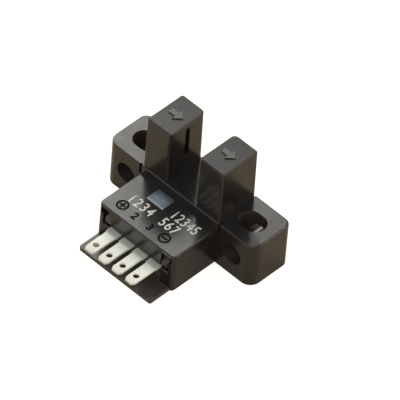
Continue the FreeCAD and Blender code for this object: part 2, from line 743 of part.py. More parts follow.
def make_package(label, side):
    """Moulded package of the light source or the receiver, with a round lens towards the slit."""
    package = new_body(label)
    low = "package_bottom"
    high = "package_bottom + package_height"
    face = new_sketch(package, "YZ_Plane", "package_face_plan", f"{side}package_face")
    outline(face, [
        ("slit_middle - package_width / 2", low),
        ("slit_middle + package_width / 2", low),
        ("slit_middle + package_width / 2", f"{high} - package_bevel"),
        ("slit_middle + package_width / 2 - package_bevel", high),
        ("slit_middle - package_width / 2 + package_bevel", high),
        ("slit_middle - package_width / 2", f"{high} - package_bevel"),
    ])
    pad(package, "block", face, "package_thickness", backward=side == "-")

    profile = new_sketch(package, "XZ_Plane", "lens_profile", "-(slit_middle)")
    bind(profile, "AttachmentOffset.Base.y", "optic_height")
    apex = f"{side}(package_face - lens_rise)"
    foot = f"{side}package_face"
    radius = number("(lens_radius ^ 2 + lens_rise ^ 2) / (2 * lens_rise)")
    towards_gap = 1 if side == "-" else -1
    centre = number(apex) - towards_gap * radius
    angle = math.asin(min(1, number("lens_radius") / radius)) / 2
    on_arc = Vector(centre + towards_gap * radius * math.cos(angle), radius * math.sin(angle), 0)
    start = Vector(number(apex), 0, 0)
    end = Vector(number(foot), number("lens_radius"), 0)
    axis_line = profile.addGeometry(Part.LineSegment(Vector(number(foot), 0, 0), start))
    cap = profile.addGeometry(Part.Arc(start, on_arc, end))
    back = profile.addGeometry(Part.LineSegment(end, Vector(number(foot), 0, 0)))
    cap_start, cap_end = arc_ends(profile, cap, start)
    profile.addConstraint(Sketcher.Constraint("Coincident", axis_line, 2, cap, cap_start))
    profile.addConstraint(Sketcher.Constraint("Coincident", cap, cap_end, back, 1))
    profile.addConstraint(Sketcher.Constraint("Coincident", back, 2, axis_line, 1))
    profile.addConstraint(Sketcher.Constraint("PointOnObject", cap, 3, -1))
    hold_point(profile, axis_line, 1, (foot, "0"))
    hold_point(profile, axis_line, 2, (apex, "0"))
    hold_point(profile, back, 1, (foot, "lens_radius"))
    lens = package.newObject("PartDesign::Revolution", "lens")
    lens.Profile = profile
    lens.ReferenceAxis = (profile, ["H_Axis"])


def make_lead(label, side, along):
    """Stamped lead from the package down through the circuit board, with its dam bar stub."""
    lead = new_body(label)
    face = new_sketch(lead, "YZ_Plane", "lead_face", f"{side}lead_middle")
    half_outline = [
        ("lead_width / 4", "board_height - lead_tail"),
        ("lead_width / 2", "board_height - lead_tail + lead_width / 2"),
        ("lead_width / 2", "package_bottom - stub_drop - stub_length"),
        ("stub_width / 2", "package_bottom - stub_drop - stub_length"),
        ("stub_width / 2", "package_bottom - stub_drop"),
        ("lead_width / 2", "package_bottom - stub_drop"),
        ("lead_width / 2", "package_bottom"),
    ]
    right = [(f"{along} + {half}", height) for half, height in half_outline]
    left = [(f"{along} - {half}", height) for half, height in reversed(half_outline)]
    outline(face, right + left)
    pad(lead, "strip", face, "lead_thickness", both_ways=True)


def make_board():
    """Circuit board on the base's rails, with slots for the terminals and holes for the leads."""
    board = new_body("circuit_board")
    plan = new_sketch(board, "XY_Plane", "board_plan", "board_height")
    rectangle(plan, "-board_half", "board_half", "board_front", "board_back")
    pad(board, "plate", plan, "board_thickness")

    plan = new_sketch(board, "XY_Plane", "slot_plan", "board_height")
    for place in terminal_places():
        rectangle(
            plan, f"{place} - tail_width / 2 - hole_gap", f"{place} + tail_width / 2 + hole_gap",
            "leg_face - blade_thickness - hole_gap", "leg_face + hole_gap",
        )
    pocket(board, "terminal_slots", plan, "board_thickness", backward=True)

    plan = new_sketch(board, "XY_Plane", "hole_plan", "board_height")
    lead_room = "(lead_width ^ 2 + lead_thickness ^ 2) ^ 0.5 / 2 + hole_gap"
    for side, along in lead_places():
        circle(plan, (f"{side}lead_middle", along), lead_room)
    pocket(board, "lead_holes", plan, "board_thickness", backward=True)


def lead_places():
    """Side and place along the post for the two source leads, then the three receiver leads."""
    source = [("-", f"slit_middle {step} lead_pitch") for step in ("-", "+")]
    receiver = [("", f"slit_middle + {step} * lead_pitch") for step in ("-1", "0", "1")]
    return source + receiver


def make_chip(label, across, along, height):
    """Chip resistor or capacitor: a flat body between two metal ends."""
    chip = new_body(label)
    plan = new_sketch(chip, "XY_Plane", "core_plan", "board_top + cap_lap")
    rectangle(
        plan, f"{across} - chip_length / 2 + cap_lap", f"{across} + chip_length / 2 - cap_lap",
        f"{along} - chip_width / 2 + cap_lap", f"{along} + chip_width / 2 - cap_lap",
    )
    pad(chip, "core", plan, f"{height} - 2 * cap_lap")
    plan = new_sketch(chip, "XY_Plane", "cap_plan", "board_top")
    for inner, outer in (("- chip_length / 2", "- chip_length / 2 + cap_length"),
                         ("+ chip_length / 2 - cap_length", "+ chip_length / 2")):
        rectangle(
            plan, f"{across} {inner}", f"{across} {outer}",
            f"{along} - chip_width / 2", f"{along} + chip_width / 2",
        )
    pad(chip, "caps", plan, height)


def make_lamp():
    """Small indicator lamp under the window: a base with a clear block that narrows upwards."""
    lamp = new_body("indicator_lamp")
    plan = new_sketch(lamp, "XY_Plane", "lamp_plan", "board_top")
    rectangle(
        plan, "window_middle - lamp_length / 2", "window_middle + lamp_length / 2",
        "lamp_middle - lamp_width / 2", "lamp_middle + lamp_width / 2",
    )
    pad(lamp, "lamp_foot", plan, "lamp_base")
    plan = new_sketch(lamp, "XY_Plane", "lamp_lens_plan", "board_top + lamp_base")
    rectangle(
        plan, "window_middle - lamp_length / 2 + cap_length", "window_middle + lamp_length / 2 - cap_length",
        "lamp_middle - lamp_width / 2", "lamp_middle + lamp_width / 2",
    )
    block = pad(lamp, "lamp_block", plan, "lamp_lens")
    bind(block, "TaperAngle", "-lamp_draft")


def make_diode():
    """Round protection diode that lies along the bar: a glass barrel between two metal caps."""
    diode = new_body("protection_diode")
    profile = new_sketch(diode, "XZ_Plane", "diode_profile", "-(diode_middle)")
    bind(profile, "AttachmentOffset.Base.y", "board_top + diode_radius")
    outline(profile, [
        ("-diode_length / 2", "0"),
        ("diode_length / 2", "0"),
        ("diode_length / 2", "diode_radius"),
        ("diode_length / 2 - cap_length", "diode_radius"),
        ("diode_length / 2 - cap_length", "diode_radius - cap_lap"),
        ("cap_length - diode_length / 2", "diode_radius - cap_lap"),
        ("cap_length - diode_length / 2", "diode_radius"),
        ("-diode_length / 2", "diode_radius"),
    ])
    barrel = diode.newObject("PartDesign::Revolution", "barrel")
    barrel.Profile = profile
    barrel.ReferenceAxis = (profile, ["H_Axis"])


def make_transistor():
    """Output transistor: a small moulded block with its upper edges bevelled."""
    transistor = new_body("output_transistor")
    plan = new_sketch(transistor, "XY_Plane", "transistor_plan", "board_top + transistor_lift")
    rectangle(
        plan, "-transistor_length / 2", "transistor_length / 2",
        "transistor_middle - transistor_width / 2", "transistor_middle + transistor_width / 2",
    )
    block = pad(transistor, "block", plan, "transistor_height")
    top = at_height("board_top + transistor_lift + transistor_height")
    bevel_edges(transistor, "block_edges", block, top, "transistor_bevel")


def make_transistor_lead(label, across, side):
    """One gull-wing lead: out of the block at half its height, down, and flat on the board."""
    lead = new_body(label)
    face = new_sketch(lead, "YZ_Plane", "lead_side", across)
    middle = "board_top + transistor_lift + transistor_height / 2"
    out = f"transistor_middle {side} (transistor_width / 2"
    knee = f"{out} + foot_reach / 2)"
    outline(face, [
        (f"{out})", f"{middle} - foot_thickness / 2"),
        (f"{out})", f"{middle} + foot_thickness / 2"),
        (knee, f"{middle} + foot_thickness / 2"),
        (knee, "board_top + foot_thickness"),
        (f"{out} + foot_reach)", "board_top + foot_thickness"),
        (f"{out} + foot_reach)", "board_top"),
        (f"{out} + foot_reach / 2 - foot_thickness)", "board_top"),
        (f"{out} + foot_reach / 2 - foot_thickness)", f"{middle} - foot_thickness / 2"),
    ])
    pad(lead, "foot", face, "foot_width", both_ways=True)


def make_board_parts():
    make_chip("source_resistor", "chip_side - cavity_half", "chip_row", "resistor_height")
    make_chip("smoothing_capacitor", "cavity_half - chip_side", "chip_row", "capacitor_height")
    make_chip("lamp_resistor", "window_offset", "chip_row", "resistor_height")
    make_chip("pull_up_resistor", "window_offset", "chip_row + chip_step", "resistor_height")
    make_lamp()
    make_diode()
    make_transistor()
    make_transistor_lead("transistor_lead_1", "-foot_pitch", "-")
    make_transistor_lead("transistor_lead_2", "foot_pitch", "-")
    make_transistor_lead("transistor_lead_3", "0", "+")


def check_document():
    """Stop if a feature failed, a solid is missing or broken, or a cut took nothing away."""
    doc.recompute()
    for feature in doc.Objects:
        if "Invalid" in feature.State or "Error" in feature.State:
            raise RuntimeError(f"{feature.Name} failed: {feature.getStatusString()}")
        if feature.isDerivedFrom("PartDesign::Pocket"):
            if feature.Shape.Volume > feature.BaseFeature.Shape.Volume - 1e-4:
                raise RuntimeError(f"{feature.Name} cuts nothing")
        if feature.isDerivedFrom("PartDesign::Body"):
            if feature.Shape.isNull() or not feature.Shape.isValid() or len(feature.Shape.Solids) != 1:
                raise RuntimeError(f"{feature.Label} is not one sound solid")


make_case()
make_base()
make_window()
make_filter("source_filter", "-")
make_filter("receiver_filter", "")
for index, place in enumerate(terminal_places(), start=1):
    make_terminal(f"terminal_{index}", place)
make_board()
make_package("light_source", "-")
make_package("receiver", "")
lead_labels = ("source_lead_1", "source_lead_2", "receiver_lead_1", "receiver_lead_2", "receiver_lead_3")
for label, (side, along) in zip(lead_labels, lead_places()):
    make_lead(label, side, along)
make_board_parts()
check_document()

os.makedirs("parts", exist_ok=True)
for body in doc.findObjects("PartDesign::Body"):
    body.Shape.exportStep(f"parts/{body.Label}.step")
    print(f"{body.Label}: {body.Shape.Volume:.3f} mm3")
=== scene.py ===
"""Slotted optical switch: finishes, moulded and printed marks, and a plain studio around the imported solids."""
import json
import math

import bpy
from bpy.props import FloatProperty, FloatVectorProperty, PointerProperty, StringProperty
from mathutils import Matrix, Vector

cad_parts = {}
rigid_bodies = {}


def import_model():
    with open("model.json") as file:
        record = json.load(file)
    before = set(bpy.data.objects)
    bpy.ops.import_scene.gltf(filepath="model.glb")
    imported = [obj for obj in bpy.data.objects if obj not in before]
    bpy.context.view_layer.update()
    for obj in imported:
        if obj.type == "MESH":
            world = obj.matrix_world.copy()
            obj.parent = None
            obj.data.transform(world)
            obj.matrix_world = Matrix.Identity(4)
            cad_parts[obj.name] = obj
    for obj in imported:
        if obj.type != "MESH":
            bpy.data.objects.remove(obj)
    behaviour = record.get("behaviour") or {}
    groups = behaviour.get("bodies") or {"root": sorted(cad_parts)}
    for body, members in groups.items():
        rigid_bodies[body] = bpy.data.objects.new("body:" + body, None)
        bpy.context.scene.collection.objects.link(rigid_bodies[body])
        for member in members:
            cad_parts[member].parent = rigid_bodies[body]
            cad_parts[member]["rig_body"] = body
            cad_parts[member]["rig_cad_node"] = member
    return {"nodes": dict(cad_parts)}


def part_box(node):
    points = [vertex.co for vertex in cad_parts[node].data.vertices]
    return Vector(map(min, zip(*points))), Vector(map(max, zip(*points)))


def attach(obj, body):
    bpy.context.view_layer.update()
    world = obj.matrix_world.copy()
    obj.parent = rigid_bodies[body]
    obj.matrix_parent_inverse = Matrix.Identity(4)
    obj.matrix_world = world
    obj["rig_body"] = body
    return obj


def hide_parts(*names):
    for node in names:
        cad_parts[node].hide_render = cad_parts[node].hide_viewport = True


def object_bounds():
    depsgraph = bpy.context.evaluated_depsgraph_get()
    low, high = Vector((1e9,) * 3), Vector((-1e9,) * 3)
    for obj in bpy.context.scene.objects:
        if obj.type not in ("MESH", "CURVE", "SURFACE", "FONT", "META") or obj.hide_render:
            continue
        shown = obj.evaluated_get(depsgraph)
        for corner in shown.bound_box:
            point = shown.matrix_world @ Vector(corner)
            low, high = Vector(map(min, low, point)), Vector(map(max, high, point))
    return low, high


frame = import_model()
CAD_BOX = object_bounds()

bl_info = {
    "name": "Slotted optical switch",
    "version": (1, 0, 0),
    "blender": (4, 5, 0),
    "location": "3D View > Sidebar > Switch",
    "description": "Dresses the solids of a slotted optical switch and sets up its studio",
    "category": "Object",
}

MM = 0.001
BODY = "root"
HAIR = 0.02 * MM  # keeps a level just off a face, so that it falls clearly on one side of it

# Places on the switch. The middle of the sensing gap is nought across and along, the bottom is nought upwards.
ARROW_RISE = 0.15 * MM  # the arrows above the tops of the posts
ARROW_LEVEL = 0.1 * MM  # what is this far above a post's top belongs to its arrow
TOPS_REACH = 4.7 * MM  # the tops lie this far to either side of the middle, from front left to back right
TOPS_SLANT = 0.25  # how much of that direction goes across, against along
BLADE_LENGTH = 4.1 * MM  # a terminal from its tip to its wider root
CROSS_HOLE_MIDDLE = 9.5 * MM  # the holes through the wings, to either side
CROSS_HOLE_HEIGHT = 3.65 * MM
CROSS_HOLE_REACH = 1.581 * MM  # a hair more than their radius, so their walls lie within it
WING_HEIGHT = 7.15 * MM
SLOT_REACH = 2.4 * MM  # the upright slots' walls lie within this distance of their middles, along and across

# Marks on the body's top, in millimetres: centres of the signs and numerals that are sunk in it, and for each
# printed row its numerals, its centre and the pitch from one numeral to the next.
PLUS_AT = (-4.27, -9.48)
MINUS_AT = (3.34, -9.63)
SUNK_NUMERALS = (("2", -1.87, -9.75), ("3", 0.8, -9.68))
PRINTED_ROWS = (("12345", 3.28, -5.86, 0.93), ("1234", -2.6, -7.81, 1.09), ("567", 2.3, -7.78, 1.0))
SIGN_ARM = 0.58  # how far a sign's bars reach, against its ring's radius
FIGURE_SHARE = 0.729  # how tall a numeral stands, against the text's size
RING_SIDES = 48
WELD = 1e-7

# How strongly each material bends light.
FILLED_PBT_IOR = 1.57
POLYCARBONATE_IOR = 1.585
EPOXY_IOR = 1.54
BOARD_IOR = 1.55
INK_IOR = 1.5
SUNK_FLOOR_IOR = 1.5

# Sizes of the finishes' patterns. The lines and the grains are drawn coarser than the real ones, so that they show.
MELT_FLOW = 3.5 * MM  # clouds where the melt ran faster or slower
SPARK_PIT = 0.06 * MM
INK_MOTTLE = 0.12 * MM
ROLLING_LINE = 0.05 * MM  # from one line on the rolled strip to the next
ROLLING_RUN = 1.6 * MM  # how far such a line runs on
TIN_CLOUD = 0.8 * MM
DYE_CLOUD = 1.2 * MM
SILICA_GRAIN = 0.1 * MM
GLAZE_FLECK = 0.15 * MM
GLASS_THREAD = 0.45 * MM  # from one thread of the board's glass cloth to the next

# How far a finish goes from its setting, at the smoothest and at the roughest of its pattern.
FLOW_SPREAD = (0.85, 1.15)
SPARK_SPREAD = (0.86, 1.14)
TOPS_SPREAD = (0.8, 1.1)  # at the front left and at the back right of the posts' tops
ROLLED_SPREAD = (0.8, 1.25)

# Tones of the sunk marks, whose near black is painted shade of their grooves, and of the smaller pieces, sRGB hex:
# the darker and the lighter one.
SUNK_SHADE_TONES = ("#0a0908", "#171513")
FILTER_TONES = ("#1c0609", "#35090e")
CLEAR_EPOXY_TONES = ("#cdd6dc", "#e3eaee")
DYED_EPOXY_TONES = ("#170c14", "#2a1622")
FILLED_EPOXY_TONES = ("#161616", "#232322")
LEAD_TONES = ("#c3c0b7", "#dad7ce")
RESIST_TONES = ("#1c5233", "#25653f")
BOARD_EDGE_TONE = "#b8a66b"
CAP_TONE = "#d6d3ca"
INK_SHADE = "#c9c8c2"

# Chip parts: the node, its finish, its middle's two tones, and the share of its length under each tinned cap.
RESISTOR_TONES = ("#16181a", "#24282b")
CHIPS = (
    ("source_resistor", "source_resistor_glazed_ceramic", RESISTOR_TONES, 0.18),
    ("lamp_resistor", "lamp_resistor_glazed_ceramic", RESISTOR_TONES, 0.18),
    ("pull_up_resistor", "pull_up_resistor_glazed_ceramic", RESISTOR_TONES, 0.18),
    ("smoothing_capacitor", "fired_ceramic_capacitor", ("#a78a63", "#b69a74"), 0.2),
    ("indicator_lamp", "lamp_in_clear_epoxy", ("#d9d3bd", "#ece8d8"), 0.16),
    ("protection_diode", "glass_sleeved_diode", ("#7a2c18", "#9a3c22"), 0.17),
)

# The photograph's view, as axes of the camera: to the right, up, and back towards the camera.
VIEW_RIGHT = Vector((0.70878, 0.70314, 0.05677))
VIEW_UP = Vector((-0.54121, 0.49040, 0.68308))
VIEW_BACK = Vector((0.45246, -0.51489, 0.72813))
SENSOR_WIDTH = 36.0

# The studio: its floor, and each soft light with the setting that holds its power, its side and its place.
FLOOR_SIDE = 6.0
FLOOR_TONE = "#b19d7d"
FLOOR_SEEN = 0.9  # how much of white the camera sees on the floor, added to the light that falls on it
FLOOR_IN_GLOSS = 0.12  # how much of that also shows in glossy faces
PALE_BELOW = 0.9  # the surround's strength near the horizon, where the floor would go on
HORIZON_FADE = (0.15, 0.6)  # heights between which the surround goes from there to its own strength
LIGHT_TONE = (1.0, 0.99, 0.94)
LIGHTS = (
    ("soft_light_behind", "key", 0.5, (-0.60, 0.32, 0.49)),
    ("soft_light_left", "fill", 0.5, (-0.6, -0.35, 0.4)),
    ("soft_light_front", "front", 0.5, (0.45, -0.55, 0.5)),
    ("soft_light_right", "low", 0.3, (0.83, 0.52, 0.26)),
)

# Settings that nodes share.
COLOUR = {"data_type": "RGBA"}
NUMBER = {"data_type": "FLOAT"}
WHITE = (1, 1, 1, 1)


# Colours and nodes

def linear(hex_code):
    """A colour written as sRGB hex, as the linear values that a shader takes."""
    channels = [int(hex_code.lstrip("#")[i:i + 2], 16) / 255 for i in (0, 2, 4)]
    return tuple(c / 12.92 if c <= 0.04045 else ((c + 0.055) / 1.055) ** 2.4 for c in channels) + (1.0,)


def add_node(tree, kind, settings=None, *in_order, **by_name):
    """Adds a node: settings are its own options, and its inputs are values or sockets, in order or by name."""
    node = tree.nodes.new(kind)
    for name, value in (settings or {}).items():
        setattr(node, name, value)
    filled = list(zip(node.inputs, in_order))
    for name, value in by_name.items():
        label = name.replace("_", " ").lower()
        filled.append((next(s for s in node.inputs if s.enabled and s.name.lower() == label), value))
    for socket, value in filled:
        if isinstance(value, bpy.types.NodeSocket):
            tree.links.new(value, socket)
        else:
            socket.default_value = value
    return node


def blank_material(name):
    """An empty node material with its tree, and the object's own coordinates to draw patterns on."""
    material = bpy.data.materials.new(name)
    material.use_nodes = True
    tree = material.node_tree
    tree.nodes.clear()
    place = add_node(tree, "ShaderNodeTexCoord").outputs["Object"]
    return material, tree, place


def two_tones(tree, place, size, tones, detail=3.0, roughness=0.5):
    """Clouds of that size in a material, as a share and as a colour that goes from the one tone to the other."""
    clouds = add_node(
        tree, "ShaderNodeTexNoise", Vector=place, Scale=1 / size, Detail=detail, Roughness=roughness).outputs["Fac"]
    dark, light = tones
    colour = add_node(tree, "ShaderNodeMix", COLOUR, Factor=clouds, A=linear(dark), B=linear(light)).outputs[2]
    return clouds, colour


def finish_material(tree, shader):
    """Ends a material in its shader."""
    add_node(tree, "ShaderNodeOutputMaterial", Surface=shader.outputs[0])


def dress(node, material):
    """Gives a CAD node its finish, in its own material slot."""
    paint(frame["nodes"][node], material)


def paint(piece, material):
    """Gives a piece its one finish."""
    piece.data.materials.clear()
    piece.data.materials.append(material)


# Mesh work

def deselect_all():
    """Leaves edit mode and selects nothing."""
    if bpy.context.object and bpy.context.object.mode != "OBJECT":
        bpy.ops.object.mode_set(mode="OBJECT")
    bpy.ops.object.select_all(action="DESELECT")


def only(piece):
    """Selects one piece alone, for the operators that act on what is selected."""
    deselect_all()
    piece.select_set(True)
    bpy.context.view_layer.objects.active = piece


def joined(pieces):
    """Makes one object of several."""
    deselect_all()
    for piece in pieces:
        piece.select_set(True)
    bpy.context.view_layer.objects.active = pieces[0]
    bpy.ops.object.join()
    return bpy.context.object


def settle(piece, name):
    """Names a finished piece and puts its place in its mesh, so that its object sits at the origin."""
    only(piece)
    bpy.ops.object.transform_apply(location=True, rotation=True, scale=True)
    piece.name = name
    piece.data.name = name
    return piece


def outward(piece):
    """Merges a piece's doubles and points its faces outwards."""
    only(piece)
    bpy.ops.object.mode_set(mode="EDIT")
    bpy.ops.mesh.select_all(action="SELECT")
    bpy.ops.mesh.remove_doubles(threshold=WELD)
    bpy.ops.mesh.normals_make_consistent(inside=False)
    bpy.ops.object.mode_set(mode="OBJECT")


def pull_up(height):
    """In edit mode, draws what is selected upwards into a solid of that height."""
    bpy.ops.mesh.extrude_region_move(TRANSFORM_OT_translate={"value": (0, 0, height)})


def numeral(text, height, stroke, at, thickness, narrow=1.0):
    """Plain numerals as a solid that starts at the point's height, centred on it, narrowed by a factor."""
    deselect_all()
    bpy.ops.object.text_add(location=at)
    row = bpy.context.object
    row.data.body = text
    row.data.align_x = "CENTER"
    row.data.align_y = "CENTER"
    row.data.size = height / FIGURE_SHARE
    row.data.offset = stroke
    row.data.resolution_u = 6
    bpy.ops.object.convert(target="MESH")
    row = bpy.context.object
    only(row)
    bpy.ops.object.mode_set(mode="EDIT")
    bpy.ops.mesh.select_all(action="SELECT")
    bpy.ops.transform.resize(value=(narrow, 1, 1), center_override=at)
    pull_up(thickness)
    bpy.ops.object.mode_set(mode="OBJECT")
    outward(row)
    return row


def sign_ring(radius, line, at, depth):
    """The ring round a supply sign, as a solid for cutting."""
    deselect_all()
    bpy.ops.mesh.primitive_circle_add(vertices=RING_SIDES, radius=radius, fill_type="NGON", location=at)
    ring = bpy.context.object
    bpy.ops.object.mode_set(mode="EDIT")
    bpy.ops.mesh.select_all(action="SELECT")
    bpy.ops.mesh.inset(thickness=line)
    bpy.ops.mesh.delete(type="FACE")
    bpy.ops.mesh.select_all(action="SELECT")
    pull_up(depth)
    bpy.ops.object.mode_set(mode="OBJECT")
    outward(ring)
    return ring


def sign_bars(directions, line, arm, at, depth):
    """The bar or the cross in a supply sign, as a solid for cutting: a square drawn out in those directions."""
    deselect_all()
    bpy.ops.mesh.primitive_plane_add(size=line, location=at)
    bars = bpy.context.object
    bpy.ops.object.mode_set(mode="EDIT")
    reach = arm - line / 2
    close = line * 0.1
    for dx, dy in directions:
        bpy.ops.mesh.select_all(action="DESELECT")
        bpy.ops.object.mode_set(mode="OBJECT")
        for edge in bars.data.edges:
            middle = sum((bars.data.vertices[i].co for i in edge.vertices), Vector()) / 2
            edge.select = (middle - Vector((dx, dy, 0)) * line / 2).length < close
        bpy.ops.object.mode_set(mode="EDIT")
        bpy.ops.mesh.select_mode(type="EDGE")
        bpy.ops.mesh.extrude_region_move(TRANSFORM_OT_translate={"value": (dx * reach, dy * reach, 0)})
    bpy.ops.mesh.select_mode(type="VERT")
    bpy.ops.mesh.select_all(action="SELECT")
    pull_up(depth)
    bpy.ops.object.mode_set(mode="OBJECT")
    outward(bars)
    return bars


def body_top():
    """Height of the body's flat top: the case's highest point in front of the bar."""
    return max(v.co.z for v in frame["nodes"]["case"].data.vertices if v.co.y < PLUS_AT[1] * MM)


def sunk_marks(marks):
    """The supply signs and the terminals' numerals as one solid that cuts them in the body's top."""
    floor = body_top() - marks.sign_depth
    depth = marks.sign_depth * 2
    arm = marks.sign_radius * SIGN_ARM
    sideways, lengthways = [(1, 0), (-1, 0)], [(0, 1), (0, -1)]
    cutters = []
    for directions, (x, y) in ((sideways + lengthways, PLUS_AT), (sideways, MINUS_AT)):
        at = (x * MM, y * MM, floor)
        cutters.append(sign_ring(marks.sign_radius, marks.sign_line, at, depth))
        cutters.append(sign_bars(directions, marks.sign_line, arm, at, depth))
    for text, x, y in SUNK_NUMERALS:
        cutters.append(numeral(text, marks.sign_numeral, marks.sign_stroke, (x * MM, y * MM, floor), depth))
    # The grooves' floor is painted near black: painted shade of the grooves.
    sunk = shaded_cut_floor()
    for cutter in cutters:
        paint(cutter, sunk)
    return joined(cutters)


def loose_copy(node):
    """A copy of a CAD node as a new piece, with a mesh of its own, its triangles merged into one skin."""
    piece = frame["nodes"][node].copy()
    piece.data = piece.data.copy()
    piece.parent = None
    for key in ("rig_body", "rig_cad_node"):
        del piece[key]
    bpy.context.scene.collection.objects.link(piece)
    only(piece)
    bpy.ops.mesh.customdata_custom_splitnormals_clear()
    outward(piece)
    return piece


def cut_away(piece, tool):
    """Cuts the tool's shape out of the piece, whose new faces take the tool's finish, and smooths its curves."""
    cut = piece.modifiers.new("signs", "BOOLEAN")
    cut.operation = "DIFFERENCE"
    cut.solver = "EXACT"
    cut.use_self = True
    cut.material_mode = "TRANSFER"
    cut.object = tool
    only(piece)
    bpy.ops.object.modifier_apply(modifier=cut.name)
    bpy.data.objects.remove(tool)
    if piece.data.has_custom_normals:
        bpy.ops.mesh.customdata_custom_splitnormals_clear()
    bpy.ops.object.shade_smooth_by_angle(angle=math.radians(30))
    weighted = piece.modifiers.new("flat faces stay flat", "WEIGHTED_NORMAL")
    weighted.keep_sharp = True
    bpy.ops.object.modifier_apply(modifier=weighted.name)


# Finishes

def cored_holes(tree, place):
    """Two masks: the walls of the cross holes' front halves, and the walls of the upright slots."""
    across, along, up = add_node(tree, "ShaderNodeSeparateXYZ", Vector=place).outputs
    sums = {"across": across, "along": along, "up": up}
    for name, operation, *values in (
        ("sideways", "ABSOLUTE", "across"),
        ("beside", "SUBTRACT", "sideways", CROSS_HOLE_MIDDLE),
        ("above", "SUBTRACT", "up", CROSS_HOLE_HEIGHT),
        ("beside_squared", "POWER", "beside", 2.0),
        ("above_squared", "POWER", "above", 2.0),
        ("away_squared", "ADD", "beside_squared", "above_squared"),
        ("away", "SQRT", "away_squared"),
        ("near_axis", "LESS_THAN", "away", CROSS_HOLE_REACH),
        ("in_front", "LESS_THAN", "along", 0.0),
        ("cross_wall", "MULTIPLY", "near_axis", "in_front"),
        ("off_middle", "ABSOLUTE", "beside"),
        ("off_centre", "ABSOLUTE", "along"),
        ("from_middle", "MAXIMUM", "off_middle", "off_centre"),
        ("near_slot", "LESS_THAN", "from_middle", SLOT_REACH),
        ("in_wing", "COMPARE", "up", WING_HEIGHT / 2, WING_HEIGHT / 2 - HAIR),
        ("in_slot", "MULTIPLY", "near_slot", "in_wing"),
        ("slot_wall", "GREATER_THAN", "in_slot", "near_axis"),
    ):
        values = [sums.get(value, value) for value in values]
        sums[name] = add_node(tree, "ShaderNodeMath", {"operation": operation}, *values).outputs[0]
    return sums["cross_wall"], sums["slot_wall"]


def case_tool(tree, place, look, colour, roughness):
    """Where the case's tool was finished in another way: its inserts over the posts, and its pins for the holes.

    To the eye, the posts' tops are duller, most at the back on the right, where the spark bit deeper, the arrows
    cut in them shine, and the holes' walls are dull, those of the slots a paler tone than the rest.
    """
    across, along, up = add_node(tree, "ShaderNodeSeparateXYZ", Vector=place).outputs
    slanting = add_node(tree, "ShaderNodeMath", {"operation": "MULTIPLY_ADD"}, across, TOPS_SLANT, along)
    smoothest, roughest = TOPS_SPREAD
    deeper = add_node(
        tree, "ShaderNodeMapRange", Value=slanting.outputs[0], From_Min=-TOPS_REACH, From_Max=TOPS_REACH,
        To_Min=smoothest, To_Max=roughest)
    spark = add_node(
        tree, "ShaderNodeTexNoise", Vector=place, Scale=1 / look.spark_size, Detail=3.0, Roughness=0.6)
    smoothest, roughest = (look.insert_roughness * share for share in SPARK_SPREAD)
    mottle = add_node(
        tree, "ShaderNodeMapRange", Value=spark.outputs["Fac"], From_Min=0.3, From_Max=0.7,
        To_Min=smoothest, To_Max=roughest)
    eroded = add_node(
        tree, "ShaderNodeMath", {"operation": "MULTIPLY"}, mottle.outputs["Result"], deeper.outputs["Result"])
    cross_wall, slot_wall = cored_holes(tree, place)
    any_wall = add_node(tree, "ShaderNodeMath", {"operation": "MAXIMUM"}, cross_wall, slot_wall)
    post_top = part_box("case")[1].z - ARROW_RISE - HAIR
    on_post, on_arrow = (
        add_node(tree, "ShaderNodeMath", {"operation": "GREATER_THAN"}, up, level).outputs[0]
        for level in (post_top, post_top + ARROW_LEVEL)
    )
    for where, wanted in (
        (on_post, eroded.outputs[0]), (on_arrow, look.arrow_roughness), (any_wall.outputs[0], look.core_roughness),
    ):
        roughness = add_node(tree, "ShaderNodeMix", NUMBER, Factor=where, A=roughness, B=wanted).outputs[0]
    colour = add_node(tree, "ShaderNodeMix", COLOUR, Factor=slot_wall, A=colour, B=linear(look.slot_tone)).outputs[2]
    return colour, roughness


def moulded_plastic(name, look, tones, dullness=1.0, tool=None):
    """Glass-filled PBT, injection moulded in a lightly spark-eroded steel tool.

    To the eye: near black, a soft gloss that mirrors what stands close to it, and a very fine grain. A tool with
    other finishes in places changes the colour and the roughness there.
    """
    material, tree, place = blank_material(name)
    flow, colour = two_tones(tree, place, MELT_FLOW, tones, roughness=0.55)
    smoothest, roughest = (look.plastic_roughness * dullness * share for share in FLOW_SPREAD)
    roughness = add_node(
        tree, "ShaderNodeMapRange", Value=flow, From_Min=0.35, From_Max=0.65,
        To_Min=smoothest, To_Max=roughest).outputs["Result"]
    if tool:
        colour, roughness = tool(tree, place, look, colour, roughness)
    grain = add_node(
        tree, "ShaderNodeTexNoise", Vector=place, Scale=1 / look.grain_size, Detail=4.0, Roughness=0.62)
    bump = add_node(
        tree, "ShaderNodeBump", Height=grain.outputs["Fac"],
        Strength=look.grain_strength, Distance=look.grain_depth)
    shader = add_node(
        tree, "ShaderNodeBsdfPrincipled", Base_Color=colour, Roughness=roughness, IOR=FILLED_PBT_IOR,
        Normal=bump.outputs["Normal"])
    finish_material(tree, shader)
    return material


def shaded_cut_floor():
    """The floor of the moulded signs, which the spark leaves rough: a matt line, its near-black colour painted shade
    of the grooves.
    """
    material, tree, place = blank_material("spark_eroded_floor")
    pits, colour = two_tones(tree, place, SPARK_PIT, SUNK_SHADE_TONES)
    bump = add_node(tree, "ShaderNodeBump", Height=pits, Strength=0.5, Distance=0.02 * MM)
    shader = add_node(
        tree, "ShaderNodeBsdfPrincipled", Base_Color=colour, Roughness=0.72, IOR=SUNK_FLOOR_IOR,
        Specular_IOR_Level=0.2, Normal=bump.outputs["Normal"])
    finish_material(tree, shader)
    return material


